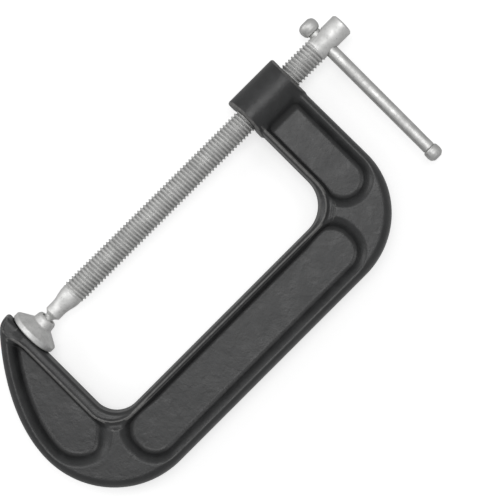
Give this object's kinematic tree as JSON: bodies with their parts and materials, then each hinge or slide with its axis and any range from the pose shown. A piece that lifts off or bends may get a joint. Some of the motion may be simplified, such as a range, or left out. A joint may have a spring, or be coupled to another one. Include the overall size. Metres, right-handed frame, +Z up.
{
  "type": "c clamp",
  "caption": "Cast iron C clamp with a threaded screw, a swivel pad on the screw's ball end and a sliding tommy bar.",
  "frame": {"origin": "middle of the underside of the part's box, with the clamp lying on its side", "axes": "+X from the screw to the frame's spine, +Y along the screw from the jaw to the head, +Z up, square to the frame's flat sides"},
  "size_m": [0.084, 0.1926, 0.0193],
  "materials": {
    "black_paint": "satin charcoal paint over a cast surface",
    "zinc_steel": "satin zinc plating"
  },
  "bodies": {
    "frame": {"clamp_frame": "black_paint"},
    "pad": {"swivel_pad": "zinc_steel"},
    "screw": {"clamp_screw": "zinc_steel"},
    "bar": {"tommy_bar": "zinc_steel", "bar_knob": "zinc_steel", "bar_end_cap": "zinc_steel"}
  },
  "joints": [
    {"name": "screw_feed", "type": "slide", "parent": "frame", "child": "pad", "axis": [0, 1, 0], "range_m": [0, 0.102]},
    {"name": "screw_turn", "type": "hinge", "parent": "pad", "child": "screw", "pos_m": [-0.0303, 0.0563, 0.01], "axis": [0, 1, 0], "range_deg": [0, 24480]},
    {"name": "bar_slide", "type": "slide", "parent": "screw", "child": "bar", "axis": [1, 0, 0], "range_m": [-0.0508, 0.0005]}
  ],
  "couplings": [
    {"joint": "screw_feed", "follows": "screw_turn", "m_per_rad": 0.00023873}
  ]
}
